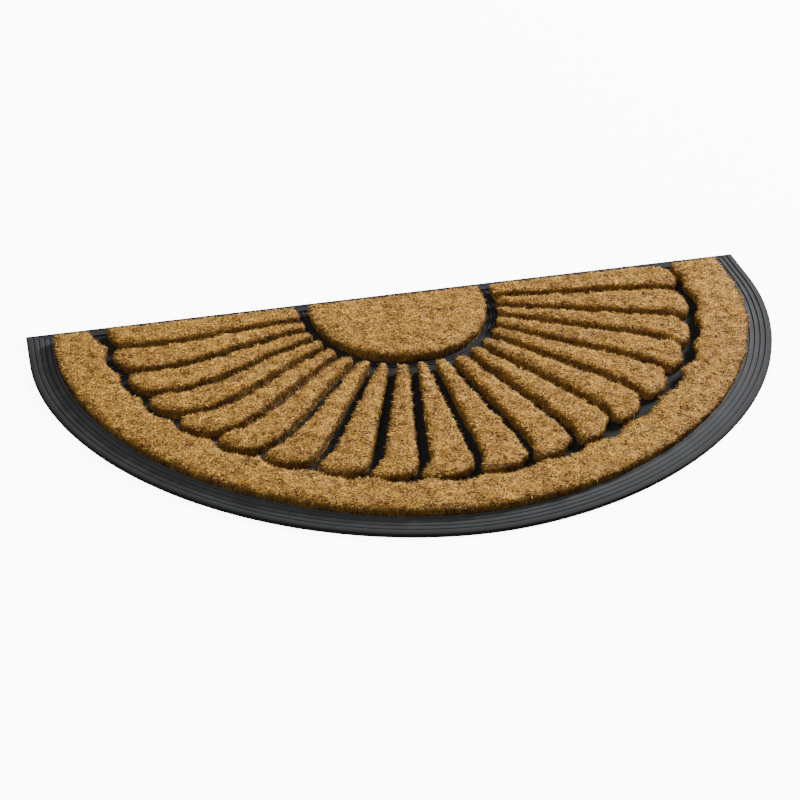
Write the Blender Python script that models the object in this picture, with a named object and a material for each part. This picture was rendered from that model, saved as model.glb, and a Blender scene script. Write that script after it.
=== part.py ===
"""Half-moon doormat: coir pile in a moulded rubber sheet.

The rubber sheet is one moulding, with a ribbed border, a thin floor and two
fine ribs round the half-disc. The pile stands on that floor in separate
blocks: a scalloped crescent, nineteen rays and a half-disc.

The plan is drawn in millimetres, with x to the right and depth counted from
the middle of the straight edge towards the curved one. A bearing is an angle
in degrees from that same point, 0 straight ahead and positive to the right.
"""
import math
from typing import NamedTuple

import bmesh
import bpy
from mathutils import Vector

MM = 0.001

# Overall size
MAT_WIDTH = 750.0
MAT_DEPTH = 450.0
SIDE_STRAIGHT = 56.0     # straight stretch at each end of the curved edge
EDGE_POWER = 1.905       # 2 is an ellipse, less is slightly pointed

# Rubber sheet
FLOOR_TOP = 3.0
RIM_WIDTH = 27.0         # ribbed border along the curved edge
STRIP_WIDTH = 15.0       # the same border, narrowed, along the straight edge
RIM_WALL = 3.4
RIM_OUTER_TOP = 4.2
RIM_INNER_TOP = 5.0
RIM_EDGE = 0.8
RIM_GROOVES = (5.4, 10.8, 16.2, 21.6)
GROOVE_HALF_WIDTH = 0.7
GROOVE_DEPTH = 0.7
RIM_STEP = 0.6           # slant of the border's inner face
CURVE_STEPS = 80

# Coir pile
GAP = 0.3                # between the pile and the rubber
PILE_TOP = 15.0
PILE_ROUND = 2.2
ROUND_STEPS = 2
PILE_BACK = 20.0         # depth at which every block starts

# Half-disc and the channel round it
DISC_HALF_WIDTH = 89.5
DISC_DEPTH = 144.5
DISC_STRAIGHT = 34.0
DISC_POWER = 2.14
DISC_STEPS = 36
DISC_CORNER = 5.0
DISC_RIB_OFFSETS = (4.2, 8.2)
DISC_RIB_WIDTH = 1.6
DISC_RIB_TOP = 4.0
DISC_RIB_ROOT = 2.0      # the ribs start inside the floor
DISC_RIB_OVERLAP = 2.0   # and run this far into the border

# Ray blocks
TIP_HALF_WIDTH = 102.0
TIP_DEPTH = 164.0
TIP_CORNER = 4.0
TIP_STEPS = 3
END_INSET = 88.0         # ray corners, measured in from the mat's edge
END_BULGE_INSET = 82.0   # middle of a ray's outer end
END_CORNER = 15.0
END_STEPS = 5
CHANNEL_AT_TIP = 7.5
CHANNEL_AT_END = 10.5
BOW_STEPS = 6            # straight pieces in the side of a bowed channel
BOW_POWER = 2.0          # above one, the bow is fullest towards the ends

# Crescent
BAND_INSET = RIM_WIDTH + 0.9
BAND_HOLLOW_INSET = 70.5
BAND_CUSP_INSET = 78.5
BAND_CORNER = 5.0
HOLLOW_STEPS = 6
HOLLOW_FULLNESS = 0.7

HALVINGS = 40            # steps to find a point on a curve
SHARED_SIDE = 0.49       # most of a side that a corner may take beside a round one
OWN_SIDE = 0.8           # and beside a plain one
SHARP_ANGLE = 35.0


class Channel(NamedTuple):
    """Bearings of a channel at the tips and the ends, and its bow to the right."""
    tip: float
    end: float
    bow: float = 0.0


CHANNELS = (
    Channel(tip=-64.6, end=-78.4, bow=6.0),
    Channel(tip=-55.1, end=-68.5, bow=10.5),
    Channel(tip=-46.2, end=-59.2, bow=14.0),
    Channel(tip=-38.2, end=-50.1, bow=13.5),
    Channel(tip=-30.8, end=-40.8, bow=8.5),
    Channel(tip=-23.6, end=-32.1, bow=7.0),
    Channel(tip=-17.0, end=-22.9, bow=1.5),
    Channel(tip=-10.5, end=-14.2),
    Channel(tip=-3.8, end=-6.9),
    Channel(tip=2.2, end=1.5),
    Channel(tip=9.0, end=9.9, bow=1.0),
    Channel(tip=16.4, end=18.0, bow=1.5),
    Channel(tip=23.8, end=26.2, bow=3.0),
    Channel(tip=31.6, end=35.0, bow=4.0),
    Channel(tip=39.4, end=45.0, bow=2.0),
    Channel(tip=48.2, end=54.7, bow=2.0),
    Channel(tip=57.0, end=64.4),
    Channel(tip=66.3, end=76.1),
)


class Curve(NamedTuple):
    """A U-shaped line: straight sides, then a full round front."""
    half_width: float
    depth: float
    straight: float
    power: float

    def grown(self, by):
        return Curve(self.half_width + by, self.depth + by, self.straight, self.power)

    def drawn_in(self, by):
        return self.grown(-by)

    def points(self, steps, start=0.0):
        """From the left side at depth start, round the front, to the right side."""
        side_left = (-self.half_width, start)
        side_right = (self.half_width, start)
        front = []
        for step in range(steps + 1):
            angle = math.pi * step / steps
            along = math.cos(angle)
            ahead = math.sin(angle)
            x = -math.copysign(abs(along) ** (2 / self.power), along) * self.half_width
            depth = self.straight + (self.depth - self.straight) * ahead ** (2 / self.power)
            front.append((x, depth))
        return [side_left] + front + [side_right]

    def outside(self, x, depth):
        """Below one inside the line, above one outside it."""
        across = abs(x) / self.half_width
        ahead = max(0.0, depth - self.straight) / (self.depth - self.straight)
        return across ** self.power + ahead ** self.power

    def at(self, bearing):
        """The point of the line at a bearing, found by halving."""
        sine = math.sin(math.radians(bearing))
        cosine = math.cos(math.radians(bearing))
        near = 0.0
        far = self.half_width + self.depth
        for _ in range(HALVINGS):
            middle = (near + far) / 2
            if self.outside(middle * sine, middle * cosine) > 1:
                far = middle
            else:
                near = middle
        return Vector((near * sine, near * cosine))


MAT_EDGE = Curve(MAT_WIDTH / 2, MAT_DEPTH, SIDE_STRAIGHT, EDGE_POWER)
TIP_LINE = Curve(TIP_HALF_WIDTH, TIP_DEPTH, DISC_STRAIGHT, DISC_POWER)
DISC_EDGE = Curve(DISC_HALF_WIDTH, DISC_DEPTH, DISC_STRAIGHT, DISC_POWER)


def world(x, depth, height):
    """Metres, with the origin under the middle of the mat's box."""
    return Vector((x * MM, (MAT_DEPTH / 2 - depth) * MM, height * MM))


def material(name, colour, roughness):
    made = bpy.data.materials.new(name)
    made.use_nodes = True
    shader = made.node_tree.nodes["Principled BSDF"]
    shader.inputs["Base Color"].default_value = (*colour, 1.0)
    shader.inputs["Roughness"].default_value = roughness
    shader.inputs["Metallic"].default_value = 0.0
    return made


def place(name, mesh_data, finish):
    """Write a bmesh to a new object at the origin."""
    bmesh.ops.recalc_face_normals(mesh_data, faces=mesh_data.faces)
    mesh = bpy.data.meshes.new(name)
    mesh_data.to_mesh(mesh)
    mesh_data.free()
    piece = bpy.data.objects.new(name, mesh)
    piece.data.materials.append(finish)
    bpy.context.scene.collection.objects.link(piece)
    piece.data.shade_smooth()
    piece.data.set_sharp_from_angle(angle=math.radians(SHARP_ANGLE))
    return piece


def side_from(here, neighbour):
    """The side from a corner to the next, and how much of it rounding may take."""
    side = Vector(neighbour[:2]) - here
    share = SHARED_SIDE if neighbour[2] else OWN_SIDE
    return side, side.length * share


def round_corners(corners):
    """Replace each (x, depth, radius, steps) corner by a curve near that radius."""
    outline = []
    count = len(corners)
    for index, (x, depth, radius, steps) in enumerate(corners):
        here = Vector((x, depth))
        if radius == 0:
            outline.append((here.x, here.y))
            continue
        before, room_before = side_from(here, corners[index - 1])
        after, room_after = side_from(here, corners[(index + 1) % count])
        half_turn = before.angle(after) / 2
        reach = min(radius / math.tan(half_turn), room_before, room_after)
        start = here + before.normalized() * reach
        stop = here + after.normalized() * reach
        for step in range(steps + 1):
            share = step / steps
            point = start.lerp(here, share).lerp(here.lerp(stop, share), share)
            outline.append((point.x, point.y))
    return outline


def block(name, outline, bottom, top, finish, rounding=0.0):
    """Extrude a closed plan outline and round its upper edge."""
    shape = bmesh.new()
    ring = [shape.verts.new(world(x, depth, bottom)) for x, depth in outline]
    base = shape.faces.new(ring)
    raised = bmesh.ops.extrude_face_region(shape, geom=[base])
    upper = [item for item in raised["geom"] if isinstance(item, bmesh.types.BMVert)]
    bmesh.ops.translate(shape, verts=upper, vec=Vector((0, 0, (top - bottom) * MM)))
    if rounding:
        rim = [item for item in raised["geom"] if isinstance(item, bmesh.types.BMEdge)]
        bmesh.ops.bevel(shape, geom=rim, offset=rounding * MM, offset_type="OFFSET",
                        segments=ROUND_STEPS, profile=0.5, affect="EDGES",
                        clamp_overlap=True, material=-1)
    return place(name, shape, finish)


def border_profile():
    """Height of the rubber against the distance in from its edge."""
    def slope(inset):
        share = inset / RIM_WIDTH
        return RIM_OUTER_TOP + (RIM_INNER_TOP - RIM_OUTER_TOP) * share

    profile = [(0.0, 0.0), (0.0, RIM_WALL), (RIM_EDGE, RIM_OUTER_TOP)]
    for groove in RIM_GROOVES:
        profile.append((groove - GROOVE_HALF_WIDTH, slope(groove)))
        profile.append((groove, slope(groove) - GROOVE_DEPTH))
        profile.append((groove + GROOVE_HALF_WIDTH, slope(groove)))
    profile.append((RIM_WIDTH - RIM_STEP, RIM_INNER_TOP))
    profile.append((RIM_WIDTH, FLOOR_TOP))
    return profile


def rubber_sheet(finish):
    """Nested rings of the mat's outline, closed by the underside and the floor."""
    shape = bmesh.new()
    rings = []
    for inset, height in border_profile():
        back = inset * STRIP_WIDTH / RIM_WIDTH
        plan = MAT_EDGE.drawn_in(inset).points(CURVE_STEPS, start=back)
        rings.append([shape.verts.new(world(x, depth, height)) for x, depth in plan])
    for lower, upper in zip(rings, rings[1:]):
        count = len(lower)
        for index in range(count):
            following = (index + 1) % count
            shape.faces.new((lower[index], lower[following], upper[following], upper[index]))
    shape.faces.new(rings[0])
    shape.faces.new(rings[-1])
    return place("rubber_base", shape, finish)


def disc_rib(offset):
    """A U-shaped rib that follows the half-disc and ends inside the border."""
    start = STRIP_WIDTH - DISC_RIB_OVERLAP
    inner = DISC_EDGE.grown(offset).points(DISC_STEPS, start)
    outer = DISC_EDGE.grown(offset + DISC_RIB_WIDTH).points(DISC_STEPS, start)
    return inner + outer[::-1]


def add_disc_ribs(sheet, finish):
    for number, offset in enumerate(DISC_RIB_OFFSETS, start=1):
        rib = block(f"rib_guide_{number}", disc_rib(offset), DISC_RIB_ROOT,
                    DISC_RIB_TOP, finish)
        rib.hide_render = True
        rib.display_type = "WIRE"
        joined = sheet.modifiers.new(f"rib_{number}", "BOOLEAN")
        joined.operation = "UNION"
        joined.solver = "EXACT"
        joined.object = rib


def ray_side(channel, side):
    """The edge of a ray along a channel, from its tip to its end corner."""
    tip = TIP_LINE.at(channel.tip)
    end = MAT_EDGE.drawn_in(END_INSET).at(channel.end)
    along = (end - tip).normalized()
    to_right = Vector((along.y, -along.x))
    steps = BOW_STEPS if channel.bow else 1
    edge = []
    for step in range(steps + 1):
        share = step / steps
        width = CHANNEL_AT_TIP + (CHANNEL_AT_END - CHANNEL_AT_TIP) * share
        bow = channel.bow * math.sin(math.pi * share ** BOW_POWER)
        edge.append(tip.lerp(end, share) + to_right * (bow + side * width / 2))
    return edge


def back_side(side):
    """The edge of the first and last ray, along the straight edge of the mat."""
    tip = Vector((side * TIP_HALF_WIDTH, PILE_BACK))
    end = Vector((side * (MAT_WIDTH / 2 - END_BULGE_INSET), PILE_BACK))
    return [tip, end]


def with_corners(edge):
    """A side as corners: a small round at the tip, a large one at the end."""
    corners = [(*point, 0, 0) for point in edge]
    corners[0] = (*edge[0], TIP_CORNER, TIP_STEPS)
    corners[-1] = (*edge[-1], END_CORNER, END_STEPS)
    return corners


def ray_outline(number):
    """Plan of ray 0 to 18, counted from the left."""
    last = len(CHANNELS)
    left = back_side(-1) if number == 0 else ray_side(CHANNELS[number - 1], 1)
    right = back_side(1) if number == last else ray_side(CHANNELS[number], -1)
    middle = (left[-1] + right[-1]) / 2
    bearing = math.degrees(math.atan2(middle.x, middle.y))
    bulge = MAT_EDGE.drawn_in(END_BULGE_INSET).at(bearing)
    return round_corners(with_corners(left) + [(*bulge, 0, 0)] + with_corners(right)[::-1])


def with_round_ends(edge, radius):
    """The points as corners, of which only the first and last are rounded."""
    corners = [(*point, 0, 0) for point in edge]
    for end in (0, -1):
        corners[end] = (*edge[end], radius, END_STEPS)
    return corners


def scalloped_edge():
    """Inner edge of the crescent: a hollow round each ray's end, left to right."""
    back_bearing = math.degrees(math.atan2(MAT_WIDTH / 2 - BAND_HOLLOW_INSET, PILE_BACK))
    cusps = [-back_bearing] + [channel.end for channel in CHANNELS] + [back_bearing]
    edge = []
    for number in range(len(cusps) - 1):
        for step in range(HOLLOW_STEPS):
            share = step / HOLLOW_STEPS
            swing = share
            if number == 0:
                swing = 0.5 + share / 2
            if number == len(cusps) - 2:
                swing = share / 2
            hollow = math.sin(math.pi * swing) ** HOLLOW_FULLNESS
            inset = BAND_CUSP_INSET - (BAND_CUSP_INSET - BAND_HOLLOW_INSET) * hollow
            bearing = cusps[number] + (cusps[number + 1] - cusps[number]) * share
            edge.append(MAT_EDGE.drawn_in(inset).at(bearing))
    edge.append(MAT_EDGE.drawn_in(BAND_HOLLOW_INSET).at(back_bearing))
    return edge


def band_outline():
    border = MAT_EDGE.drawn_in(BAND_INSET).points(CURVE_STEPS, PILE_BACK)
    inner = with_round_ends(scalloped_edge(), BAND_CORNER)
    outer = with_round_ends(border, BAND_CORNER)
    return round_corners(inner + outer[::-1])


def disc_outline():
    edge = DISC_EDGE.points(DISC_STEPS, PILE_BACK)
    return round_corners(with_round_ends(edge, DISC_CORNER))


def main():
    for old in list(bpy.data.objects):
        bpy.data.objects.remove(old, do_unlink=True)
    rubber = material("rubber", (0.035, 0.036, 0.038), 0.6)
    coir = material("coir", (0.30, 0.165, 0.055), 0.95)

    sheet = rubber_sheet(rubber)
    add_disc_ribs(sheet, rubber)

    pile_bottom = FLOOR_TOP + GAP
    block("coir_band", band_outline(), pile_bottom, PILE_TOP, coir, PILE_ROUND)
    block("coir_half_disc", disc_outline(), pile_bottom, PILE_TOP, coir, PILE_ROUND)
    for number in range(len(CHANNELS) + 1):
        block(f"coir_ray_{number + 1:02d}", ray_outline(number), pile_bottom,
              PILE_TOP, coir, PILE_ROUND)


main()
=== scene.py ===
# %% [markdown]
# # A half-moon doormat: coir pile in moulded rubber
# The mat is one sheet of black rubber with a ribbed border. Tufts of coconut
# fibre stand in it in separate blocks: a half-disc, a fan of nineteen rays and
# a scalloped crescent. The measured solids come in first, as the frame that
# every finished piece has to fit. The rubber is then moulded again with its
# fine ribs, and each block of coir is grown fibre by fibre.

# %% Load the measured frame
import math
from typing import NamedTuple

import bmesh
import bpy
from mathutils import Matrix, Vector, noise


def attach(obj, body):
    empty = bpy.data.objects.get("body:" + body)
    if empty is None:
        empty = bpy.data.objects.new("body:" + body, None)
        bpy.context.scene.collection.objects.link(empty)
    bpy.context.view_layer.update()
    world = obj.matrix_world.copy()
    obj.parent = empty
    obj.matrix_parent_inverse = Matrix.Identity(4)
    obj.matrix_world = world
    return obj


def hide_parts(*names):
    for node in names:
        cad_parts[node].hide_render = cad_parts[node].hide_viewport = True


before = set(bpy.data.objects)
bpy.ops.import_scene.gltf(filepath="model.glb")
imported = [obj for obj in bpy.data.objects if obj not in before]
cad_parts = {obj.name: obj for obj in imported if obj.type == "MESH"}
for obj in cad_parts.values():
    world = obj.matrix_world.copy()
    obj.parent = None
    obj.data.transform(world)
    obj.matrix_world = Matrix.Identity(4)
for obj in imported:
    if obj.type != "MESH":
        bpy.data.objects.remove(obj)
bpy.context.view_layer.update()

MM = 0.001
PILE_NODES = [name for name in sorted(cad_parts) if name.startswith("coir_")]
print("blocks of pile:", len(PILE_NODES))

# %% [markdown]
# ## Where we stand
# A mat is looked at from a standing height, a little to the left of its middle,
# through a long lens that keeps its outline calm. The camera is turned in three
# plain steps: down from the horizon, round to the right, and a slight roll.

# %% Camera
LOOK_DOWN = 30.48
LOOK_RIGHT = 11.97
ROLL = -1.10
CAMERA_PLACE = (-0.4049, -1.7305, 1.0513)
FOCAL_LENGTH = 97.49
SENSOR_WIDTH = 36.0


def new_object(name, data):
    """An object at the origin, linked to the scene."""
    made = bpy.data.objects.new(name, data)
    bpy.context.scene.collection.objects.link(made)
    return made


lens = bpy.data.cameras.new("camera")
lens.lens = FOCAL_LENGTH
lens.sensor_width = SENSOR_WIDTH
camera = new_object("camera", lens)
camera.matrix_world = (
    Matrix.Translation(CAMERA_PLACE)
    @ Matrix.Rotation(math.radians(-LOOK_RIGHT), 4, "Z")
    @ Matrix.Rotation(math.radians(90 - LOOK_DOWN), 4, "X")
    @ Matrix.Rotation(math.radians(ROLL), 4, "Z")
)
bpy.context.scene.camera = camera
print("camera stands", round(camera.location.length, 2), "m from the mat")

# %% [markdown]
# ## Node trees written as sums
# Materials and Geometry Nodes are both trees of nodes. Wiring them by hand hides
# what they compute, so a Wire stands for one output and turns + - * / into Math
# nodes. Everything else goes through Recipe.node: its type, then its settings,
# then what its sockets get.

# %% A wire, which is one output of a node
class Wire:
    """One output of a node, which can be used in a sum."""

    def __init__(self, recipe, socket):
        self.recipe = recipe
        self.socket = socket

    def maths(self, operation, first, second=0.0):
        return self.recipe.node("ShaderNodeMath", {"operation": operation},
                                {0: first, 1: second})

    def __add__(self, other):
        return self.maths("ADD", self, other)

    def __radd__(self, other):
        return self.maths("ADD", other, self)

    def __sub__(self, other):
        return self.maths("SUBTRACT", self, other)

    def __rsub__(self, other):
        return self.maths("SUBTRACT", other, self)

    def __mul__(self, other):
        return self.maths("MULTIPLY", self, other)

    def __rmul__(self, other):
        return self.maths("MULTIPLY", other, self)

    def __truediv__(self, other):
        return self.maths("DIVIDE", self, other)

    def __gt__(self, other):
        return self.maths("GREATER_THAN", self, other)

    def at_least(self, other):
        return self.maths("MAXIMUM", self, other)

    def at_most(self, other):
        return self.maths("MINIMUM", self, other)

    def cosine(self):
        return self.maths("COSINE", self)

    def sine(self):
        return self.maths("SINE", self)

    def output(self, name):
        """Another output of the same node."""
        return Wire(self.recipe, self.socket.node.outputs[name])

    def part(self, axis):
        """The X, Y or Z of a vector."""
        split = self.recipe.node("ShaderNodeSeparateXYZ", {}, {"Vector": self})
        return split.output(axis)


# %% A recipe, which is one tree of nodes
class Recipe:
    """Adds nodes to one tree."""

    def __init__(self, tree):
        self.tree = tree
        tree.nodes.clear()

    def node(self, kind, settings=None, sockets=None, output=0):
        """A new node, as a wire from one of its outputs."""
        made = self.tree.nodes.new(kind)
        for name, value in (settings or {}).items():
            if name == "stops":
                self.set_stops(made.color_ramp, value)
            else:
                setattr(made, name, value)
        for name, value in (sockets or {}).items():
            self.feed(made.inputs[name], value)
        return Wire(self, made.outputs[output]) if made.outputs else made

    def feed(self, socket, value):
        """Give a socket a wire, a list of wires or a plain value."""
        if isinstance(value, Wire):
            self.tree.links.new(value.socket, socket)
        elif isinstance(value, list):
            for wire in value:
                self.tree.links.new(wire.socket, socket)
        else:
            socket.default_value = value

    @staticmethod
    def set_stops(ramp, stops):
        while len(ramp.elements) < len(stops):
            ramp.elements.new(0.5)
        for element, (place, colour) in zip(ramp.elements, stops):
            element.position = place
            element.color = (*colour, 1.0)

    def blend(self, share, first, second, kind="MIX"):
        """Mix two colours."""
        settings = {"data_type": "RGBA", "blend_type": kind}
        sockets = {0: share, 6: first, 7: second}
        return self.node("ShaderNodeMix", settings, sockets, output=2)

    def vectors(self, operation, first, second):
        settings = {"operation": operation}
        return self.node("ShaderNodeVectorMath", settings, {0: first, 1: second})

    def scaled(self, vector, factor):
        settings = {"operation": "SCALE"}
        return self.node("ShaderNodeVectorMath", settings, {0: vector, "Scale": factor})

    def vector(self, x, y, z):
        return self.node("ShaderNodeCombineXYZ", {}, {"X": x, "Y": y, "Z": z})

    def noise(self, place, per_metre, detail=2.0, output="Fac"):
        """A cloud pattern that turns over so many times in a metre."""
        sockets = {"Vector": place, "Scale": per_metre, "Detail": detail}
        return self.node("ShaderNodeTexNoise", {}, sockets, output=output)

    def smooth_step(self, value, low, high, at_low=0.0, at_high=1.0):
        settings = {"interpolation_type": "SMOOTHSTEP"}
        sockets = {"Value": value, "From Min": low, "From Max": high,
                   "To Min": at_low, "To Max": at_high}
        return self.node("ShaderNodeMapRange", settings, sockets)

    def bump(self, relief, strength, height):
        """Normals that follow a relief, which stands up to this height."""
        return self.node("ShaderNodeBump", {}, {
            "Height": relief, "Strength": strength, "Distance": height})

    def surface(self, sockets):
        """End a material with one surface that gets these values."""
        made = self.node("ShaderNodeBsdfPrincipled", {}, sockets)
        self.node("ShaderNodeOutputMaterial", {}, {"Surface": made})


def new_finish(name):
    """An empty material and the recipe that fills it."""
    finish = bpy.data.materials.new(name)
    finish.use_nodes = True
    return finish, Recipe(finish.node_tree)


# %% [markdown]
# ## A plain studio
# Product shots of mats are lit from one side, low enough for the pile to show
# its relief. A soft lamp stands far to the right, a little behind the mat, and a
# weaker one stands higher, in front on the left. The floor is nearly white and
# glows, so that it stays pale without more light falling on the rubber, and its
# glow is kept off the mat.

# %% Floor
FLOOR_HALF = 6.0
FLOOR_DROP = 0.4 * MM
FLOOR_GLOW = 9.0


def mesh_from(name, shape):
    """Write a bmesh to a mesh, and let go of it."""
    mesh = bpy.data.meshes.new(name)
    shape.to_mesh(mesh)
    shape.free()
    return mesh


def pale_floor():
    shape = bmesh.new()
    bmesh.ops.create_grid(shape, x_segments=1, y_segments=1, size=FLOOR_HALF)
    bmesh.ops.translate(shape, verts=shape.verts, vec=(0, 0, -FLOOR_DROP))
    floor = new_object("studio_floor", mesh_from("studio_floor", shape))
    finish, recipe = new_finish("studio_paper")
    recipe.surface({
        "Base Color": (0.9, 0.9, 0.9, 1), "Roughness": 0.9, "Specular IOR Level": 0.1,
        "Emission Color": (1, 1, 1, 1), "Emission Strength": FLOOR_GLOW})
    floor.data.materials.append(finish)
    floor.visible_diffuse = False
    floor.visible_glossy = False


pale_floor()
print("studio floor:", 2 * FLOOR_HALF, "m wide")

# %% Lamps and surroundings
WORLD_LIGHT = 0.44


def soft_lamp(name, bearing, height, distance, size, power):
    """A square lamp that faces the mat. Bearing 0 is in front, 90 to the right."""
    data = bpy.data.lights.new(name, "AREA")
    data.shape = "SQUARE"
    data.size = size
    data.energy = power
    lamp = new_object(name, data)
    turn = math.radians(bearing)
    rise = math.radians(height)
    away = Vector((math.sin(turn) * math.cos(rise), -math.cos(turn) * math.cos(rise),
                   math.sin(rise)))
    lamp.location = away * distance
    lamp.rotation_mode = "QUATERNION"
    lamp.rotation_quaternion = away.to_track_quat("Z", "Y")


soft_lamp("key_lamp", bearing=117, height=27, distance=4.2, size=1.0, power=635)
soft_lamp("fill_lamp", bearing=-55, height=55, distance=2.8, size=1.8, power=33)

world = bpy.data.worlds.new("studio")
world.use_nodes = True
bpy.context.scene.world = world
surroundings = Recipe(world.node_tree)
even_light = surroundings.node("ShaderNodeBackground", {}, {
    "Color": (1, 1, 1, 1), "Strength": WORLD_LIGHT})
surroundings.node("ShaderNodeOutputWorld", {}, {"Surface": even_light})

# %% [markdown]
# ## The outline, from a few numbers
# The mat, the channel round the half-disc and the ribs all follow the same kind
# of line: straight sides, then a full round front. A formula gives it smoother
# than tracing would. It is the one that the measured solids use, so what is
# built here lands on them. Depth is counted from the straight edge.

# %% Plan of the mat, in millimetres
MAT_WIDTH = 750.0
MAT_DEPTH = 450.0
RIM_WIDTH = 27.0
STRIP_WIDTH = 15.0
FLOOR_TOP = 3.0
CURVE_STEPS = 160


class Curve(NamedTuple):
    """A U-shaped line: straight sides, then a full round front."""
    half_width: float
    depth: float
    straight: float
    power: float

    def grown(self, by):
        return Curve(self.half_width + by, self.depth + by, self.straight, self.power)

    def points(self, steps, start=0.0):
        """From the left side at depth start, round the front, to the right side."""
        front = []
        for step in range(steps + 1):
            angle = math.pi * step / steps
            along = math.cos(angle)
            ahead = math.sin(angle)
            x = -math.copysign(abs(along) ** (2 / self.power), along) * self.half_width
            depth = self.straight + (self.depth - self.straight) * ahead ** (2 / self.power)
            front.append((x, depth))
        return [(-self.half_width, start)] + front + [(self.half_width, start)]


MAT_EDGE = Curve(MAT_WIDTH / 2, MAT_DEPTH, straight=56.0, power=1.905)
DISC_EDGE = Curve(89.5, 144.5, straight=34.0, power=2.14)


def world_point(x, depth, height):
    """Metres, with the origin under the middle of the mat."""
    return Vector((x * MM, (MAT_DEPTH / 2 - depth) * MM, height * MM))


def flat_area(plan):
    """Area inside a plan outline, in square metres."""
    total = 0.0
    for (x, depth), (next_x, next_depth) in zip(plan, plan[1:] + plan[:1]):
        total += x * next_depth - next_x * depth
    return abs(total) / 2 * MM * MM


mat_area = flat_area(MAT_EDGE.points(CURVE_STEPS))
print("flat area of the mat:", round(mat_area, 4), "square metres")

# %% [markdown]
# ## Moulded rubber
# The real sheet is pressed in a steel mould, so its border has ribs with
# softened shoulders and a thin bead beside the pile. A profile of heights,
# swept round the outline, makes all of it at once. The underside is one face.
# Its loop of edges is extruded again and again, and each copy is laid on the
# next height of the profile, up to the floor that closes the sheet.

# %% Profile of the border
GROOVES = (6.7, 12.1, 17.5, 22.9)
GROOVE_STEPS = ((-0.6, 0.0), (-0.3, -0.3), (0.0, -0.9), (0.5, -0.9), (1.0, -0.25))
RIB_PITCH = 5.4
RIB_TILT = 0.55
RIB_SHOULDER = 2.4
RIM_START = 3.9
RIM_RISE = 0.8
OUTER_EDGE = [(0.35, 0.0), (0.0, 0.4), (0.0, 3.0), (0.2, 3.6), (0.8, 3.95)]
BEAD = [(25.0, 4.75), (25.4, 5.1), (25.8, 5.2), (26.3, 5.05), (26.8, 4.4),
        (RIM_WIDTH, FLOOR_TOP)]


def rib_height(inset):
    """The border rises inwards, and so does the top of each of its ribs."""
    share = ((inset - GROOVES[0]) / RIB_PITCH) % 1.0
    return RIM_START + RIM_RISE * inset / RIM_WIDTH + RIB_TILT * share


def border_profile():
    """Height of the rubber against the distance in from its edge."""
    profile = list(OUTER_EDGE)
    for groove in GROOVES:
        shoulder = groove - RIB_SHOULDER
        profile.append((shoulder, rib_height(shoulder)))
        brink = rib_height(groove + GROOVE_STEPS[0][0])
        for away, height in GROOVE_STEPS:
            profile.append((groove + away, brink + height))
    return profile + BEAD


print("loops in the border:", len(border_profile()))


# %% Sweep the profile round the mat
def finish_piece(name, shape, finish, sharp=40.0):
    """Write a bmesh to an object that rides on the frame."""
    piece = new_object(name, mesh_from(name, shape))
    piece.data.materials.append(finish)
    piece.data.shade_smooth()
    piece.data.set_sharp_from_angle(angle=math.radians(sharp))
    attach(piece, "root")
    return piece


def loop_of_edges(shape, plan, height):
    corners = [shape.verts.new(world_point(x, depth, height)) for x, depth in plan]
    pairs = zip(corners, corners[1:] + corners[:1])
    return [shape.edges.new(pair) for pair in pairs]


def only(kind, items):
    """Those items that are of one kind, such as corners or edges."""
    return [item for item in items if isinstance(item, kind)]


def raise_loop(shape, corners, plan, height):
    """Extrude a loop and lay its new corners on the next plan."""
    order = {corner: number for number, corner in enumerate(corners)}
    edges = [edge for edge in shape.edges
             if edge.verts[0] in order and edge.verts[1] in order]
    made = bmesh.ops.extrude_edge_only(shape, edges=edges)["geom"]
    upper = [None] * len(corners)
    for vert in only(bmesh.types.BMVert, made):
        below = [edge.other_vert(vert) for edge in vert.link_edges]
        number = next(order[other] for other in below if other in order)
        vert.co = world_point(*plan[number], height)
        upper[number] = vert
    return upper


def rubber_sheet(finish):
    shape = bmesh.new()
    corners = None
    for inset, height in border_profile():
        plan = MAT_EDGE.grown(-inset).points(CURVE_STEPS, inset * STRIP_WIDTH / RIM_WIDTH)
        if corners is None:
            loop = loop_of_edges(shape, plan, height)
            bmesh.ops.contextual_create(shape, geom=loop)
            corners = list(shape.verts)
        else:
            corners = raise_loop(shape, corners, plan, height)
    bmesh.ops.contextual_create(shape, geom=corners)
    bmesh.ops.recalc_face_normals(shape, faces=shape.faces)
    return finish_piece("rubber_mat", shape, finish)


# %% [markdown]
# ## How rubber looks
# Moulded rubber is nearly black, but never evenly so. Dust and scuffs turn the tops of the
# ribs grey, and its surface is finely grained. The colour is mixed from two greys with the
# height and a cloud pattern, so wear sits where shoes touch, and the sunk floor between the
# blocks of pile stays darkest, as painted shade. A fine bump gives the grain.

# %% Rubber material
CLEAN_RUBBER = (0.014, 0.0146, 0.0156, 1)
WORN_RUBBER = (0.084, 0.088, 0.092, 1)
WEAR_AND_SHADE_HEIGHTS = (3.5 * MM, 5.2 * MM)
SCUFF_EDGES = (0.60, 0.75)


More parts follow.
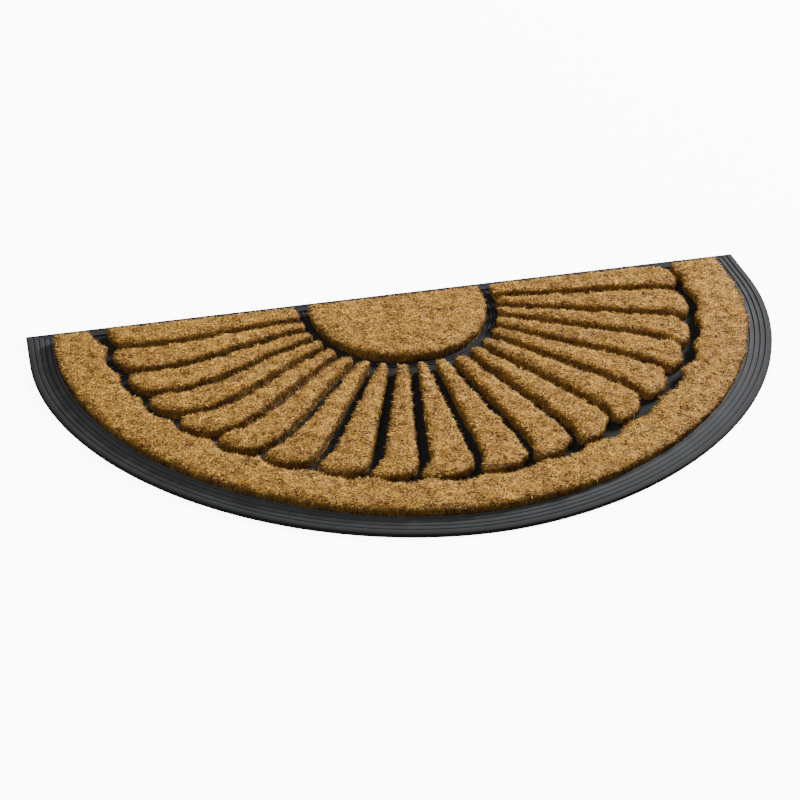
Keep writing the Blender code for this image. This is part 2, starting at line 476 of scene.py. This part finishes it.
def rubber_finish():
    finish, recipe = new_finish("moulded_rubber")
    place = recipe.node("ShaderNodeTexCoord", {}, {}, output="Object")
    dust = recipe.noise(place, per_metre=45.0, detail=6.0)
    grain = recipe.noise(place, per_metre=1400.0, detail=3.0)
    scuff = recipe.noise(place, per_metre=260.0, detail=4.0)
    # Partly painted shade: below these heights the sunk floor between the blocks of pile
    # keeps the darkest grey, apart from scuffs, while higher up the rubber greys with wear.
    raised = recipe.smooth_step(place.part("Z"), *WEAR_AND_SHADE_HEIGHTS)
    scuffed = recipe.smooth_step(scuff, *SCUFF_EDGES)
    wear_and_floor_shade = raised * (0.15 + dust * 0.5) + scuffed * 0.12
    relief = grain * 0.6 + scuff * 0.8
    recipe.surface({
        "Base Color": recipe.blend(wear_and_floor_shade, CLEAN_RUBBER, WORN_RUBBER),
        "Roughness": 0.80 + dust * 0.16 - raised * 0.16,
        "Normal": recipe.bump(relief, strength=0.35, height=0.3 * MM),
        "Specular IOR Level": 0.06})
    return finish


rubber = rubber_finish()
rubber_mat = rubber_sheet(rubber)
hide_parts("rubber_base")
print("rubber sheet:", len(rubber_mat.data.polygons), "faces")

# %% [markdown]
# ## Two ribs round the half-disc
# In the channel between the half-disc and the rays two low ribs follow the
# disc. Each is a thin U. The same line, grown by the rib's width, gives its
# other side, and the closed outline is extruded and its top edges bevelled.

# %% Channel ribs
RIB_OFFSETS = (4.2, 8.2)
RIB_WIDTH = 1.6
RIB_SUNK = 0.2
RIB_TALL = 1.2
RIB_BEVEL = 0.45
RIB_TUCKED_IN = 0.6
RIB_STEPS = 72


def add_rib(shape, offset):
    start = STRIP_WIDTH - RIB_TUCKED_IN
    inner = DISC_EDGE.grown(offset).points(RIB_STEPS, start)
    outer = DISC_EDGE.grown(offset + RIB_WIDTH).points(RIB_STEPS, start)
    loop = loop_of_edges(shape, inner + outer[::-1], FLOOR_TOP - RIB_SUNK)
    made = bmesh.ops.contextual_create(shape, geom=loop)
    raised = bmesh.ops.extrude_face_region(shape, geom=made["faces"])["geom"]
    top = only(bmesh.types.BMVert, raised)
    bmesh.ops.translate(shape, verts=top, vec=(0, 0, RIB_TALL * MM))
    edges = only(bmesh.types.BMEdge, raised)
    bmesh.ops.bevel(shape, geom=edges, offset=RIB_BEVEL * MM, offset_type="OFFSET",
                    segments=2, profile=0.5, affect="EDGES", clamp_overlap=True,
                    material=-1)


ribs = bmesh.new()
for offset in RIB_OFFSETS:
    add_rib(ribs, offset)
bmesh.ops.recalc_face_normals(ribs, faces=ribs.faces)
channel_ribs = finish_piece("rubber_channel_ribs", ribs, rubber)
print("channel ribs:", len(channel_ribs.data.polygons), "faces")

# %% [markdown]
# ## The heart of a block of pile
# Coir stands so densely that only the outer fibres can be told apart. Each block
# therefore gets a matted heart, shaped from the measured solid, and fibres grow
# from it. The faces of the solid are few and large, and could not be pushed in
# and out, so a voxel remesh gives the heart small and even ones first.

# %% Even faces for a measured solid
VOXEL = 2.6 * MM
SAME_POINT = 0.01 * MM


def with_modifiers(piece, name):
    """The piece's mesh with its modifiers applied."""
    graph = bpy.context.evaluated_depsgraph_get()
    mesh = bpy.data.meshes.new_from_object(piece.evaluated_get(graph))
    mesh.name = name
    return mesh


def even_mesh(node):
    """A closed copy of a measured solid, with faces of one size."""
    shape = bmesh.new()
    shape.from_mesh(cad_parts[node].data)
    bmesh.ops.remove_doubles(shape, verts=shape.verts, dist=SAME_POINT)
    rough = new_object("rough_heart", mesh_from("rough_heart", shape))
    remesh = rough.modifiers.new("even", "REMESH")
    remesh.mode = "VOXEL"
    remesh.voxel_size = VOXEL
    even = with_modifiers(rough, "even")
    bpy.data.objects.remove(rough)
    return even


print("faces of the hearts:", round(VOXEL / MM, 1), "mm wide")

# %% [markdown]
# ## Pile that spreads
# Pile spreads as it is used. The coir leans a few millimetres out over the
# rubber, furthest on the right of the crescent. The ends of the rays are swung to
# one side and widened there, and their other corner is worn round. The points
# between the scallops are soft, and the ends of the crescent sit a little to
# the left. All of it is done by moving the corners of the even mesh, so the
# measured solids stay as they are.

# %% How far the coir leans out
FAN_MIDDLE = Vector((0.0, 0.190))
SPLAY = 3.0 * MM
INNER_SPLAY = 2.2 * MM
RIGHT_SPLAY = 1.8 * MM
RIGHT_SPLAY_FULL = 0.25


def clamp(value, low, high):
    return min(high, max(low, value))


def splay(node, place, around):
    """How far the coir leans out over the rubber, away from the fan's middle."""
    facing = around.xy.dot((place.xy - FAN_MIDDLE).normalized())
    if node == "coir_half_disc":
        return abs(facing) * INNER_SPLAY
    if node == "coir_band":
        right = clamp(place.x / RIGHT_SPLAY_FULL, 0.0, 1.0)
        return abs(facing) * SPLAY + max(0.0, facing) * right * RIGHT_SPLAY
    return max(facing * SPLAY, -facing * INNER_SPLAY)


# %% Worn corners
RIGHT = Vector((1, 0))
BACK = Vector((0, 1))
BLUNT_CORNERS = {
    "coir_ray_19": (Vector((0.293, 0.205)), 22 * MM),
    "coir_ray_01": (Vector((-0.102, 0.205)), 9 * MM),
    "coir_band": (Vector((0.347, 0.205)), 8 * MM)}


def blunt_corner(shape, corner, one_way, other_way):
    """Draw a corner in to a round, which reaches as far as the two vectors."""
    inner = corner - one_way - other_way
    for vert in shape.verts:
        away = vert.co.xy - inner
        shares = [away.dot(way) / way.length_squared for way in (one_way, other_way)]
        if min(shares) > 0:
            vert.co.xy = inner + away * (max(shares) / math.hypot(*shares))


# %% Swung and widened ends of the rays
TIP = 30 * MM
TIP_SWAY = 5.0 * MM
TIP_FLARE = 14.5 * MM
EXTRA_FLARE = {"coir_ray_09": 9 * MM, "coir_ray_10": 7 * MM, "coir_ray_17": 10 * MM}
SIDE_RAY = 0.35
ROUND_AHEAD = 32 * MM
ROUND_ACROSS = 17 * MM
ROUND_LEAST = 0.3
ROUND_MIDDLE = 0.4
ROUND_TO_RIGHT = 1.5


def sway_tip(shape, extra):
    """Swing the outer end of a ray clockwise, and widen it on that side."""
    reach = max((vert.co.xy - FAN_MIDDLE).length for vert in shape.verts)
    tip = [vert for vert in shape.verts
           if (vert.co.xy - FAN_MIDDLE).length > reach - TIP]
    middle = sum((vert.co.xy for vert in tip), Vector((0, 0))) / len(tip)
    ahead = (middle - FAN_MIDDLE).normalized()
    clockwise = Vector((ahead.y, -ahead.x))
    half_width = max(abs((vert.co.xy - middle).dot(clockwise)) for vert in tip)
    strength = SIDE_RAY + (1.0 - SIDE_RAY) * abs(ahead.y)
    roundness = clamp(ROUND_MIDDLE + ROUND_TO_RIGHT * ahead.x, ROUND_LEAST, 1.0) * strength
    furthest = max((vert.co.xy - middle).dot(ahead) for vert in tip)
    corner = middle + ahead * furthest - clockwise * half_width
    blunt_corner(shape, corner, ahead * ROUND_AHEAD * roundness,
                 -clockwise * ROUND_ACROSS * roundness)
    flare = TIP_FLARE * strength + extra
    for vert in tip:
        share = ((vert.co.xy - FAN_MIDDLE).length - reach + TIP) / TIP
        side = 0.5 + 0.5 * (vert.co.xy - middle).dot(clockwise) / half_width
        vert.co.xy += clockwise * share ** 2 * (TIP_SWAY + flare * max(0.0, side))


# %% Soft scallops and shifted ends of the crescent
SCALLOP_PASSES = 24
FACING_INWARDS = -0.3
CRESCENT_ENDS = (Vector((-0.295, 0.205)), Vector((0.297, 0.205)))
END_SHIFT = 8 * MM
END_REACH = 35 * MM


def soften(shape, corners, passes, upwards):
    """Smooth some corners, and their height as well if upwards is true."""
    for _ in range(passes):
        bmesh.ops.smooth_vert(shape, verts=corners, factor=0.5, use_axis_x=True,
                              use_axis_y=True, use_axis_z=upwards)


def soften_scallops(shape):
    """Round the points between the hollows on the inner side of the crescent."""
    shape.normal_update()
    inner = [vert for vert in shape.verts
             if vert.normal.xy.dot((vert.co.xy - FAN_MIDDLE).normalized()) < FACING_INWARDS]
    soften(shape, inner, SCALLOP_PASSES, upwards=False)


def shift_ends(shape):
    """Move the inner corners of the crescent's two ends a little to the left."""
    for vert in shape.verts:
        for end in CRESCENT_ENDS:
            near = max(0.0, 1.0 - (vert.co.xy - end).length / END_REACH)
            vert.co.x -= END_SHIFT * near * (2.0 - near)


def wear_in(node, shape):
    """How this block spreads and wears, seen from above."""
    if node in BLUNT_CORNERS:
        corner, reach = BLUNT_CORNERS[node]
        blunt_corner(shape, corner, RIGHT * reach, BACK * reach)
    if "ray" in node:
        sway_tip(shape, EXTRA_FLARE.get(node, 0.0))
    if node == "coir_band":
        soften_scallops(shape)
        shift_ends(shape)


# %% [markdown]
# ## Lumps, shoulders and a flat foot
# Pile is trimmed by hand, so its sides and its top are never quite even. The
# shoulders of a block are smoothed first. A slow and a quick cloud then push the
# heart in and out, hardly at its foot and fully near its top. Before it leans
# out, the heart is drawn in a little from the solid, which leaves room for the
# fibres. Its foot lies flat on the rubber.

# %% Push a heart in and out
FOOT = (FLOOR_TOP + 0.05) * MM
FOOT_ZONE = 5 * MM
FACING_DOWN = -0.2
FOOT_INSET = 0.4 * MM
FOOT_LEAN = 0.6
TOP_INSET = 1.4 * MM
RISE_FROM = 4 * MM
RISE_OVER = 7 * MM
LEAST_RISE = 0.2
HEART_LOWERED = 1.0 * MM
LUMP = 1.5 * MM
SLOW_LUMPS = 12 * MM
QUICK_LUMPS = 5 * MM
QUICK_OFFSET = Vector((7, 3, 5))
SLOW_STRENGTH = 1.3
QUICK_STRENGTH = 0.6
LUMP_UPWARDS = 0.8


def lump(place):
    """A slow and a quick cloud, from about -1.5 to 1.5."""
    slow = noise.noise(place / SLOW_LUMPS)
    quick = noise.noise(place / QUICK_LUMPS + QUICK_OFFSET)
    return slow * SLOW_STRENGTH + quick * QUICK_STRENGTH


def lay_on_rubber(vert, around, lean):
    vert.co -= around * (FOOT_INSET - lean * FOOT_LEAN)
    vert.co.z = FOOT


def push(vert, around, lean):
    """Lean and push one corner, the more the higher it is."""
    rise = clamp((vert.co.z - RISE_FROM) / RISE_OVER, LEAST_RISE, 1.0)
    swell = lump(vert.co) * LUMP * rise
    inset = FOOT_INSET + (TOP_INSET - FOOT_INSET) * rise - lean * max(FOOT_LEAN, rise)
    upwards = max(0.0, vert.normal.z) * (swell * LUMP_UPWARDS - HEART_LOWERED)
    vert.co += around * (swell - inset) + Vector((0, 0, upwards))
    vert.co.z = max(vert.co.z, FOOT)


def push_all(node, shape):
    shape.normal_update()
    for vert in shape.verts:
        around = Vector((vert.normal.x, vert.normal.y, 0))
        lean = splay(node, vert.co, around)
        if vert.co.z < FOOT_ZONE and vert.normal.z < FACING_DOWN:
            lay_on_rubber(vert, around, lean)
        else:
            push(vert, around, lean)
    shape.normal_update()


# %% Put a heart together
SHOULDER_PASSES = 5
SHOULDER_FROM = 7 * MM
LEVEL_MAP = "level"
SIDE_NORMAL = 0.25
TOP_NORMAL = 0.75
UNDERSIDE_NORMAL = -0.95
FLAT_WITHIN = math.radians(2)


def merge_underside(shape):
    """Merge the faces underneath, which lie flat on the rubber.

    They are listed in the order of the mesh, which a set would shuffle, so every
    run merges them alike and grows the same fibres.
    """
    low = {face for face in shape.faces if face.normal.z < UNDERSIDE_NORMAL}
    edges = [edge for edge in shape.edges if not low.isdisjoint(edge.link_faces)]
    corners = [corner for corner in shape.verts if not low.isdisjoint(corner.link_faces)]
    bmesh.ops.dissolve_limit(shape, angle_limit=FLAT_WITHIN, verts=corners, edges=edges)


def label_steepness(shape):
    """Store on each corner how level the coir is there: 0 on a side, 1 on top."""
    shape.normal_update()
    level = shape.verts.layers.float.new(LEVEL_MAP)
    for vert in shape.verts:
        share = (vert.normal.z - SIDE_NORMAL) / (TOP_NORMAL - SIDE_NORMAL)
        vert[level] = clamp(share, 0.0, 1.0)


def heart_shape(node):
    shape = bmesh.new()
    shape.from_mesh(even_mesh(node))
    wear_in(node, shape)
    upper = [vert for vert in shape.verts if vert.co.z > SHOULDER_FROM]
    soften(shape, upper, SHOULDER_PASSES, upwards=True)
    push_all(node, shape)
    merge_underside(shape)
    label_steepness(shape)
    return shape


# %% [markdown]
# ## How coir looks
# Coconut fibre runs from dark brown through gold to straw, and single fibres
# differ more than patches do. One ramp of tones serves the heart and the
# fibres. On the heart, clouds drawn out in four directions stand for matted
# fibres on top, and clouds drawn out upwards for the combed ones on the sides.
# Deep in the pile, and down the sides of each block, the colour is darkened: mostly painted
# shade for the light that doesn't reach there, and partly dust.

# %% Tones of coir
COIR_TONES = [
    (0.00, (0.040, 0.016, 0.006)),
    (0.22, (0.19, 0.084, 0.016)),
    (0.52, (0.50, 0.255, 0.034)),
    (0.80, (0.75, 0.430, 0.060)),
    (1.00, (1.00, 0.69, 0.17))]
# Painted shade: below the upper of the shade heights the coir darkens and turns less orange,
# down to this colour at the lower one.
PILE_BOTTOM_SHADE = (0.42, 0.43, 0.64, 1)
NO_SHADE = (1, 1, 1, 1)
SHADE_HEIGHTS = (9.8 * MM, 14.9 * MM)


def coir_colour(recipe, tone, height):
    """The tone's colour, with painted shade that darkens it towards the floor of the pile."""
    tones = recipe.node("ShaderNodeValToRGB", {"stops": COIR_TONES}, {"Fac": tone})
    depth = recipe.smooth_step(height, *SHADE_HEIGHTS)
    shade = recipe.blend(depth, PILE_BOTTOM_SHADE, NO_SHADE)
    return recipe.blend(1.0, tones, shade, kind="MULTIPLY")


print("tones of coir:", len(COIR_TONES))

# %% Fibres drawn on the heart
MATTED_STREAKS = ((20, 0.0), (70, 0.70), (115, 1.15), (160, 1.60))
STREAK_ALONG = 260.0
STREAK_ACROSS = 1300.0
STREAK_UP = 400.0
COMBED_ACROSS = 1000.0
COMBED_UP = 130.0


def drawn_out(recipe, place, turn, shift):
    """A cloud of streaks that lie level, turned by an angle in degrees."""
    angle = math.radians(turn)
    x = place.part("X")
    y = place.part("Y")
    along = x * math.cos(angle) + y * math.sin(angle) + shift
    across = y * math.cos(angle) - x * math.sin(angle)
    streaks = recipe.vector(along * STREAK_ALONG, across * STREAK_ACROSS,
                            place.part("Z") * STREAK_UP)
    return recipe.noise(streaks, per_metre=1.0, detail=1.0)


def matted_fibres(recipe, place):
    """The brightest of the streaks that lie in four directions."""
    layers = [drawn_out(recipe, place, turn, shift) for turn, shift in MATTED_STREAKS]
    matted = layers[0]
    for layer in layers[1:]:
        matted = matted.at_least(layer)
    return matted


def combed_fibres(recipe, place):
    streaks = recipe.vector(place.part("X") * COMBED_ACROSS, place.part("Y") * COMBED_ACROSS,
                            place.part("Z") * COMBED_UP)
    return recipe.noise(streaks, per_metre=1.0, detail=1.0)


# %% Heart material
MATTED_STRENGTH = 0.86
FIBRE_EDGES = (0.30, 0.75)
HOLE_EDGES = (0.45, 0.62)
HOLE_SHADE = 0.45
PATCH_STRENGTH = 0.4


def heart_finish():
    finish, recipe = new_finish("coir_heart")
    place = recipe.node("ShaderNodeTexCoord", {}, {}, output="Object")
    level = recipe.node("ShaderNodeAttribute", {"attribute_name": LEVEL_MAP}, {},
                        output="Fac")
    matted = matted_fibres(recipe, place)
    combed = combed_fibres(recipe, place)
    holes = recipe.noise(place, per_metre=620.0)
    patches = recipe.noise(place, per_metre=90.0)
    fibre = matted * level * MATTED_STRENGTH + combed * (1.0 - level)
    tone = recipe.smooth_step(fibre, *FIBRE_EDGES, at_low=0.15, at_high=0.70)
    # Painted shade: the colour is darkened in the holes on top of the pile.
    tone = tone - recipe.smooth_step(holes, *HOLE_EDGES) * HOLE_SHADE * level
    tone = tone + (patches - 0.5) * PATCH_STRENGTH
    tone = tone.at_least(0.0).at_most(1.0)
    # Painted shade: the heart darkens towards the floor of the pile, by its height.
    recipe.surface({
        "Base Color": coir_colour(recipe, tone, place.part("Z")),
        "Roughness": 0.85,
        "Normal": recipe.bump(fibre - holes, strength=0.8, height=1.0 * MM),
        "Specular IOR Level": 0.2})
    return finish


heart_coir = heart_finish()
hearts = {}
for node in PILE_NODES:
    hearts[node] = finish_piece(node + "_heart", heart_shape(node), heart_coir, sharp=60.0)
    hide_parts(node)
print("hearts:", sum(len(heart.data.polygons) for heart in hearts.values()), "faces")

# %% [markdown]
# ## Growing the fibres
# A pile of coir is tens of thousands of stiff bristles, cut to one height. Each
# could be a hair curve, but those don't leave Blender as a mesh. Geometry Nodes
# scatter points over the heart instead, and put a needle on each: a cone of
# three sides, thick at its root and drawn out to a point. Random numbers turn,
# lean and size it, and clouds make neighbours lean alike. The instances are then
# realized, so the mesh holds every bristle.

# %% Random numbers and labels
STRAND_MAP = "OFBake"
MM2_PER_M2 = 1e6


def random_between(recipe, low, high, seed):
    """A random number, or vector, for each point."""
    if isinstance(low, tuple):
        return recipe.node("FunctionNodeRandomValue", {"data_type": "FLOAT_VECTOR"},
                           {0: low, 1: high, 8: seed}, output=0)
    return recipe.node("FunctionNodeRandomValue", {"data_type": "FLOAT"},
                       {2: low, 3: high, 8: seed}, output=1)


def scattered(recipe, heart, chosen, per_square_mm, seed):
    """Points on the chosen faces, and the way these face."""
    return recipe.node("GeometryNodeDistributePointsOnFaces",
                       {"distribute_method": "RANDOM"},
                       {"Mesh": heart, "Selection": chosen,
                        "Density": per_square_mm * MM2_PER_M2, "Seed": seed},
                       output="Points")


def moved_out(recipe, points, distance):
    """The points, moved out of the heart, or into it if the distance is negative."""
    offset = recipe.scaled(points.output("Normal"), distance)
    return recipe.node("GeometryNodeSetPosition", {}, {"Geometry": points, "Offset": offset})


def labelled(recipe, geometry, name, kind, domain, value):
    """The geometry with a value stored on it under a name."""
    return recipe.node("GeometryNodeStoreNamedAttribute",
                       {"data_type": kind, "domain": domain},
                       {"Geometry": geometry, "Name": name, "Value": value})


def label(recipe, name, kind="FLOAT"):
    return recipe.node("GeometryNodeInputNamedAttribute", {"data_type": kind},
                       {"Name": name}, output="Attribute")


# %% Plant a bristle on every point
TONE_CLOUDS = ((330.0, 1.3), (90.0, 0.8), (20.0, 0.4))
DARKEST = 0.02
PALEST = 0.98


def tone_of_point(recipe, middle, spread, seed):
    """A random tone round the middle one, shifted by clouds of three sizes."""
    place = recipe.node("GeometryNodeInputPosition")
    tone = random_between(recipe, -spread, spread, seed)
    for per_metre, strength in TONE_CLOUDS:
        tone = tone + (recipe.noise(place, per_metre) - 0.5) * strength
    return (tone + middle).at_least(DARKEST).at_most(PALEST)


def planted(recipe, points, shape, lean, size, seed, middle=0.5, spread=0.5):
    """Put the shape on every point, leaning and sized, and label it with a tone."""
    shape = labelled(recipe, shape, "corner", "FLOAT_VECTOR", "POINT",
                     recipe.node("GeometryNodeInputPosition"))
    spin = recipe.node("FunctionNodeEulerToRotation", {}, {
        0: random_between(recipe, (0.0, 0.0, 0.0), (0.0, 0.0, 2 * math.pi), seed)})
    turned = recipe.node("FunctionNodeAlignRotationToVector", {"axis": "Z"},
                         {"Rotation": spin, "Vector": lean})
    made = recipe.node("GeometryNodeInstanceOnPoints", {}, {
        "Points": points, "Instance": shape, "Rotation": turned, "Scale": size})
    tone = tone_of_point(recipe, middle, spread, seed + 1)
    return labelled(recipe, made, "tone", "FLOAT", "INSTANCE", tone)


def needle(recipe):
    """A three-sided bristle one metre long, to be sized where it stands."""
    return recipe.node("GeometryNodeMeshCone", {"fill_type": "NGON"}, {
        "Vertices": 3, "Side Segments": 1, "Fill Segments": 1,
        "Radius Top": 0.0, "Radius Bottom": 1.0, "Depth": 1.0}, output="Mesh")


# %% [markdown]
# ## Coats and loose fibres
# On top the pile is trodden: its fibres lie over in every direction, in tufts,
# and only just rise from the heart. On the sides they are combed upwards and
# lean out a little. These are two coats, and how level the heart is decides how
# densely each of them grows. A few long loose fibres lie on top, as on any used
# mat.

# %% Where bristles stand, and how they lean
LEAN_CLOUD = 170.0
CLOUD_MIDDLE = (0.5, 0.5, 0.5)
CLOUD_FLATTENED = (1.0, 1.0, 0.25)
STRAY_RISE = 0.12
UP = (0.0, 0.0, 1.0)


def levelness(recipe, outward):
    """0 on a side and 1 on top, from the way that the heart faces."""
    return recipe.smooth_step(outward.part("Z"), SIDE_NORMAL, TOP_NORMAL)


def chosen_faces(recipe, lowest, side):
    """Faces that look no further down than lowest, of one half if side isn't 0."""
    chosen = recipe.node("GeometryNodeInputNormal").part("Z") > lowest
    if side:
        across = recipe.node("GeometryNodeInputPosition").part("X")
        chosen = chosen * (across * side > 0.0)
    return chosen


def any_way(recipe, seed):
    """A random direction that is nearly level, shared in part by neighbours."""
    place = recipe.node("GeometryNodeInputPosition")
    cloud = recipe.vectors("SUBTRACT", recipe.noise(place, LEAN_CLOUD, output="Color"),
                           CLOUD_MIDDLE)
    turn = random_between(recipe, 0.0, 2 * math.pi, seed)
    rise = random_between(recipe, -STRAY_RISE, STRAY_RISE, seed + 1)
    return recipe.vectors("ADD", recipe.vector(turn.cosine(), turn.sine(), rise),
                          recipe.vectors("MULTIPLY", cloud, CLOUD_FLATTENED))


def leaning(recipe, outward, flat, lift, stray, seed):
    """Out of the heart by the lift, and upwards if flat is 0 or any way if it is 1."""
    upwards = recipe.vectors("SUBTRACT", UP, recipe.scaled(outward, outward.part("Z")))
    lean = recipe.vectors("ADD", recipe.scaled(outward, lift),
                          recipe.scaled(upwards, 1.0 - flat))
    strayed = recipe.scaled(any_way(recipe, seed), flat * (1.0 - stray) + stray)
    return recipe.vectors("ADD", lean, strayed)


# %% The trodden top
TOP_PER_MM2 = 1.0
TOP_LOWEST = 0.25
TOP_SUNK = 0.35 * MM
TOP_LIFT = (0.03, 0.34)
TOP_THICK = (0.24 * MM, 0.50 * MM)
TOP_TALL = (2.8 * MM, 5.4 * MM)
TUFTS = 420.0
TUFT_EDGES = (0.38, 0.58)
EDGE_SHARE = 0.3


def tuft_density(recipe, share, most):
    """Fibres stand in tufts, with holes between them."""
    tufts = recipe.noise(recipe.node("GeometryNodeInputPosition"), TUFTS)
    return share * recipe.smooth_step(tufts, *TUFT_EDGES) * most


def trodden_top(recipe, heart, side):
    level = levelness(recipe, recipe.node("GeometryNodeInputNormal"))
    density = tuft_density(recipe, level, TOP_PER_MM2)
    points = scattered(recipe, heart, chosen_faces(recipe, TOP_LOWEST, side), density,
                       seed=21)
    outward = points.output("Normal")
    lift = random_between(recipe, *TOP_LIFT, seed=22)
    lean = leaning(recipe, outward, flat=1.0, lift=lift, stray=0.20, seed=27)
    thick = random_between(recipe, *TOP_THICK, seed=23)
    level = levelness(recipe, outward)
    inland = level * level * (1.0 - EDGE_SHARE) + EDGE_SHARE
    tall = random_between(recipe, *TOP_TALL, seed=24) * inland
    return planted(recipe, moved_out(recipe, points, -TOP_SUNK), needle(recipe), lean,
                   recipe.vector(thick, thick, tall), seed=25, middle=0.44, spread=0.64)


# %% The combed sides
SIDE_PER_MM2 = 0.7
SIDE_LOWEST = -0.5
SIDE_SUNK = 0.2 * MM
SIDE_LIFT = (0.02, 0.22)
SIDE_THICK = (0.28 * MM, 0.50 * MM)
SIDE_TALL = (2.6 * MM, 5.0 * MM)
SIDE_SHORTEST = 1.0 * MM
SIDE_CEILING = 13.2 * MM


def combed_side(recipe, heart, side):
    """Bristles that are cut shorter the nearer they stand to the top."""
    level = levelness(recipe, recipe.node("GeometryNodeInputNormal"))
    density = (1.0 - level) * SIDE_PER_MM2
    points = scattered(recipe, heart, chosen_faces(recipe, SIDE_LOWEST, side), density,
                       seed=41)
    lift = random_between(recipe, *SIDE_LIFT, seed=42)
    lean = leaning(recipe, points.output("Normal"), flat=0.0, lift=lift, stray=0.12, seed=47)
    thick = random_between(recipe, *SIDE_THICK, seed=43)
    room = SIDE_CEILING - recipe.node("GeometryNodeInputPosition").part("Z")
    tall = random_between(recipe, *SIDE_TALL, seed=46).at_most(room).at_least(SIDE_SHORTEST)
    # Painted shade: the combed side fibres get a slightly darker middle tone than the fibres
    # on top.
    return planted(recipe, moved_out(recipe, points, -SIDE_SUNK), needle(recipe), lean,
                   recipe.vector(thick, thick, tall), seed=45, middle=0.42, spread=0.25)


# %% The loose fibres
LOOSE_PER_MM2 = 0.025
LOOSE_LOWEST = 0.6
LOOSE_LIFTED = 0.9 * MM
LOOSE_LONG = (4.0 * MM, 9.0 * MM)
LOOSE_LINE = {"Start": (-0.5, 0.0, -0.06), "Middle": (0.0, 0.45, 0.16),
              "End": (0.5, 0.0, -0.06)}
LOOSE_RADIUS = 0.026
LOOSE_TILT = ((-0.35, -0.35, -0.1), (0.35, 0.35, 0.1))


def bent_fibre(recipe):
    """A curved thread one metre long, to be sized where it lies."""
    line = recipe.node("GeometryNodeCurveQuadraticBezier", {}, {
        "Resolution": 3, **LOOSE_LINE})
    round_line = recipe.node("GeometryNodeCurvePrimitiveCircle", {}, {
        "Resolution": 3, "Radius": LOOSE_RADIUS}, output="Curve")
    return recipe.node("GeometryNodeCurveToMesh", {}, {
        "Curve": line, "Profile Curve": round_line, "Fill Caps": True})


def loose_fibres(recipe, heart, side):
    points = scattered(recipe, heart, chosen_faces(recipe, LOOSE_LOWEST, side),
                       LOOSE_PER_MM2, seed=31)
    tilt = random_between(recipe, *LOOSE_TILT, seed=32)
    lean = recipe.vectors("ADD", points.output("Normal"), tilt)
    long = random_between(recipe, *LOOSE_LONG, seed=33)
    bend = random_between(recipe, -1.0, 1.0, seed=34)
    return planted(recipe, moved_out(recipe, points, LOOSE_LIFTED), bent_fibre(recipe), lean,
                   recipe.vector(long, long * bend, long), seed=35)


# %% [markdown]
# ## From points to one mesh
# The coats are joined and realized. Every corner then gets its place on a small chart: across
# is the fibre's tone, from dark to straw, and up is its height in the pile, which sets its
# painted shade. A material that reads this chart needs no pattern that has to be as fine as a
# bristle. Corners of one bristle are set a little apart on the chart, so that each of its
# faces keeps some area there.

# %% Grow the coats of one block
CHART_HEIGHT = 16 * MM
CHART_SPOT = 0.004


def pile_recipe(name, side):
    """All the coats of a block, or of its left (-1) or right (1) half."""
    tree = bpy.data.node_groups.new(name, "GeometryNodeTree")
    tree.interface.new_socket("Heart", in_out="INPUT", socket_type="NodeSocketGeometry")
    tree.interface.new_socket("Pile", in_out="OUTPUT", socket_type="NodeSocketGeometry")
    recipe = Recipe(tree)
    heart = recipe.node("NodeGroupInput")
    strands = [coat(recipe, heart, side) for coat in (trodden_top, combed_side, loose_fibres)]
    joined = recipe.node("GeometryNodeJoinGeometry", {}, {"Geometry": strands})
    real = recipe.node("GeometryNodeRealizeInstances", {}, {"Geometry": joined})
    height = recipe.node("GeometryNodeInputPosition").part("Z") / CHART_HEIGHT
    corner = label(recipe, "corner", "FLOAT_VECTOR")
    across = label(recipe, "tone") + corner.part("X") * CHART_SPOT
    chart = recipe.vector(across, height + corner.part("Y") * CHART_SPOT, 0.0)
    real = labelled(recipe, real, STRAND_MAP, "FLOAT2", "CORNER", chart)
    recipe.node("NodeGroupOutput", {}, {0: real})
    return tree


def grow(heart, recipe_tree, name, finish):
    """Run a recipe on a heart and keep its fibres as a piece of their own."""
    growth = heart.modifiers.new("growth", "NODES")
    growth.node_group = recipe_tree
    mesh = with_modifiers(heart, name)
    heart.modifiers.remove(growth)
    mesh.materials.clear()
    mesh.materials.append(finish)
    piece = new_object(name, mesh)
    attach(piece, "root")
    return piece


# %% [markdown]
# ## Colour of the fibres
# The chart gives each bristle its tone and its height, so the ramp and the painted shade of
# the heart serve here as well.

# %% Coir material
def coir_finish():
    finish, recipe = new_finish("coir_fibre")
    chart = recipe.node("ShaderNodeUVMap", {"uv_map": STRAND_MAP})
    # Painted shade: the fibres darken towards the floor of the pile, by their height on the
    # chart.
    height = chart.part("Y") * CHART_HEIGHT
    recipe.surface({
        "Base Color": coir_colour(recipe, chart.part("X"), height),
        "Roughness": 0.75, "Specular IOR Level": 0.25})
    return finish


coir = coir_finish()

# %% Grow the pile
whole_pile = pile_recipe("whole_pile", 0)
left_pile = pile_recipe("left_pile", -1)
right_pile = pile_recipe("right_pile", 1)

piles = []
for node, heart in hearts.items():
    if node == "coir_band":
        piles.append(grow(heart, left_pile, "coir_band_pile_left", coir))
        piles.append(grow(heart, right_pile, "coir_band_pile_right", coir))
    else:
        piles.append(grow(heart, whole_pile, node + "_pile", coir))


def triangles(piece):
    return sum(len(face.vertices) - 2 for face in piece.data.polygons)


for piece in piles[:4] + piles[-1:]:
    print(piece.name, triangles(piece), "triangles")
print("hearts:", sum(triangles(heart) for heart in hearts.values()), "triangles")
print("fibres:", sum(triangles(piece) for piece in piles), "triangles")
